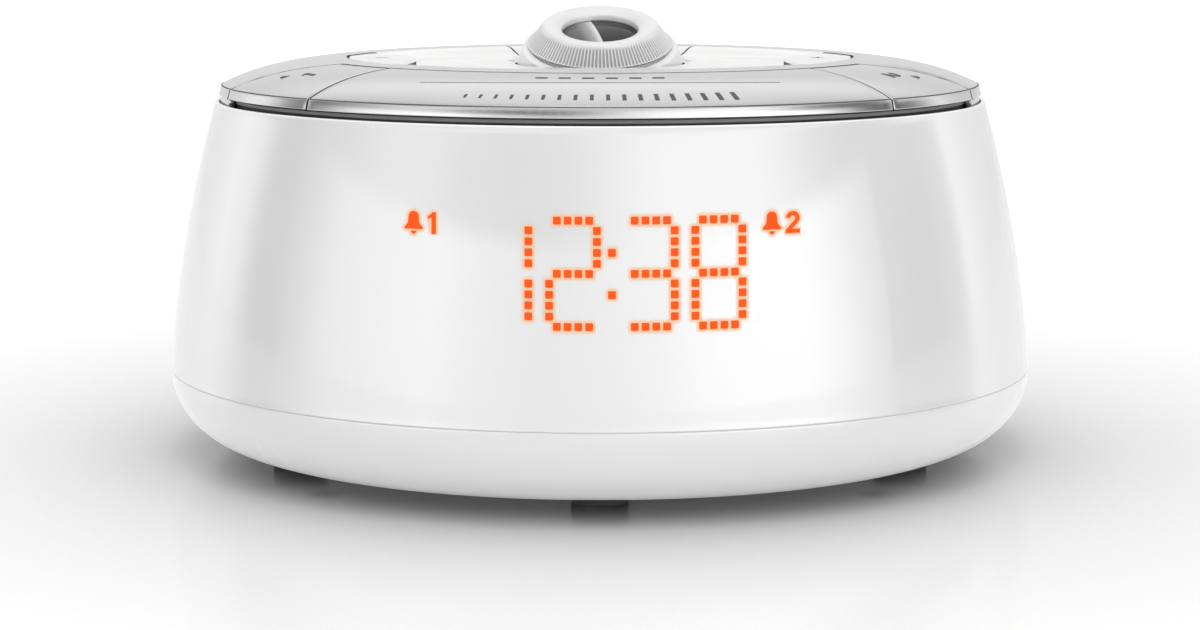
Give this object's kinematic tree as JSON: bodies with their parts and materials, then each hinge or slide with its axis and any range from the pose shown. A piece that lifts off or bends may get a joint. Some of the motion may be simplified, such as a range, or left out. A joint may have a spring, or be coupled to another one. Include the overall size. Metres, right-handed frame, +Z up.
{
  "type": "projection alarm clock",
  "caption": "Round bedside alarm clock with a dotted display behind its front wall, press keys on a domed deck and a swivelling, focusing time projector.",
  "frame": {"origin": "centre of the round footprint, on the standing surface under the rubber feet", "axes": "+Z up along the body's axis; the display faces -Y and the lead outlets +Y; +X is to the right seen from the front"},
  "size_m": [0.178, 0.178, 0.0909],
  "materials": {
    "white_gloss": "high gloss, faintly translucent",
    "white_key": "gloss",
    "white_satin": "satin",
    "silver_satin": "satin silver lacquer on plastic",
    "dark_plastic": "fine texture",
    "black_plastic": "matt",
    "grey_rubber": "matt",
    "steel": "zinc plated",
    "board_green": "solder mask",
    "lamp_orange": "lit lamp",
    "copper_winding": "enamelled wire under tape",
    "core_iron": "varnished laminations",
    "speaker_paper": "pressed paper",
    "cell_wrap": "plain printed sleeve",
    "clear_lens": "coated glass",
    "flat_cable": "flat cable"
  },
  "bodies": {
    "housing": {"base_shell": "white_gloss", "body_shell": "white_gloss", "foot_1": "grey_rubber", "foot_2": "grey_rubber", "foot_3": "grey_rubber", "foot_4": "grey_rubber", "foot_5": "grey_rubber", "base_screws": "steel", "deck": "dark_plastic", "deck_screws": "steel", "top_ring": "silver_satin", "key_panel": "white_key", "key_board": "board_green", "key_switches": "dark_plastic", "main_board": "board_green", "main_board_parts": "black_plastic", "tuner_shield": "steel", "display_board": "board_green", "display_leds": "lamp_orange", "light_mask": "black_plastic", "transformer_core": "core_iron", "transformer_winding": "copper_winding", "speaker_basket": "dark_plastic", "speaker_cone": "speaker_paper", "speaker_magnet": "core_iron", "inner_screws": "steel", "battery_tray": "black_plastic", "battery_cell_front": "cell_wrap", "battery_cell_rear": "cell_wrap", "battery_contacts": "steel", "lead_gland": "grey_rubber", "aerial_gland": "grey_rubber", "key_cable": "flat_cable"},
    "battery_door": {"battery_door": "white_gloss"},
    "snooze_key": {"snooze_key": "silver_satin", "snooze_plunger": "black_plastic"},
    "alarm_one_key": {"alarm_one_key": "silver_satin", "alarm_one_plunger": "black_plastic"},
    "alarm_two_key": {"alarm_two_key": "silver_satin", "alarm_two_plunger": "black_plastic"},
    "left_end_key": {"left_end_key": "white_key", "left_end_plunger": "black_plastic"},
    "right_end_key": {"right_end_key": "white_key", "right_end_plunger": "black_plastic"},
    "rear_key": {"rear_key": "white_key", "rear_plunger": "black_plastic"},
    "turret": {"turret": "white_satin", "turret_clip": "steel", "lamp_tube": "black_plastic", "lamp_board": "board_green", "lamp_led": "lamp_orange", "image_cell": "black_plastic", "condenser_lens": "clear_lens"},
    "focus_ring": {"focus_ring": "white_satin"},
    "lens_barrel": {"lens_barrel": "black_plastic", "projection_lens": "clear_lens"}
  },
  "joints": [
    {"name": "snooze_press", "type": "slide", "parent": "housing", "child": "snooze_key", "axis": [0, 0, -1], "range_m": [0, 0.0008], "stiffness_N_per_m": 900, "springref_m": -0.0015},
    {"name": "alarm_one_press", "type": "slide", "parent": "housing", "child": "alarm_one_key", "axis": [0, 0, -1], "range_m": [0, 0.0008], "stiffness_N_per_m": 600, "springref_m": -0.0015},
    {"name": "alarm_two_press", "type": "slide", "parent": "housing", "child": "alarm_two_key", "axis": [0, 0, -1], "range_m": [0, 0.0008], "stiffness_N_per_m": 600, "springref_m": -0.0015},
    {"name": "left_end_press", "type": "slide", "parent": "housing", "child": "left_end_key", "axis": [0, 0, -1], "range_m": [0, 0.0008], "stiffness_N_per_m": 600, "springref_m": -0.0015},
    {"name": "right_end_press", "type": "slide", "parent": "housing", "child": "right_end_key", "axis": [0, 0, -1], "range_m": [0, 0.0008], "stiffness_N_per_m": 600, "springref_m": -0.0015},
    {"name": "rear_key_press", "type": "slide", "parent": "housing", "child": "rear_key", "axis": [0, 0, -1], "range_m": [0, 0.0008], "stiffness_N_per_m": 600, "springref_m": -0.0015},
    {"name": "turret_swivel", "type": "hinge", "parent": "housing", "child": "turret", "pos_m": [0, 0, 0.0705], "axis": [0, 0, 1], "range_deg": [-90, 90]},
    {"name": "focus_turn", "type": "hinge", "parent": "turret", "child": "focus_ring", "pos_m": [0, 0, 0.0831], "axis": [0, -0.309, 0.9511], "range_deg": [-60, 60]},
    {"name": "lens_slide", "type": "slide", "parent": "turret", "child": "lens_barrel", "axis": [0, -0.309, 0.9511], "range_m": [-0.001, 0.001]},
    {"name": "battery_door_slide", "type": "slide", "parent": "housing", "child": "battery_door", "axis": [0, 1, 0], "range_m": [0, 0.048]}
  ],
  "couplings": [
    {"joint": "focus_turn", "follows": "lens_slide", "rad_per_m": 1047}
  ]
}
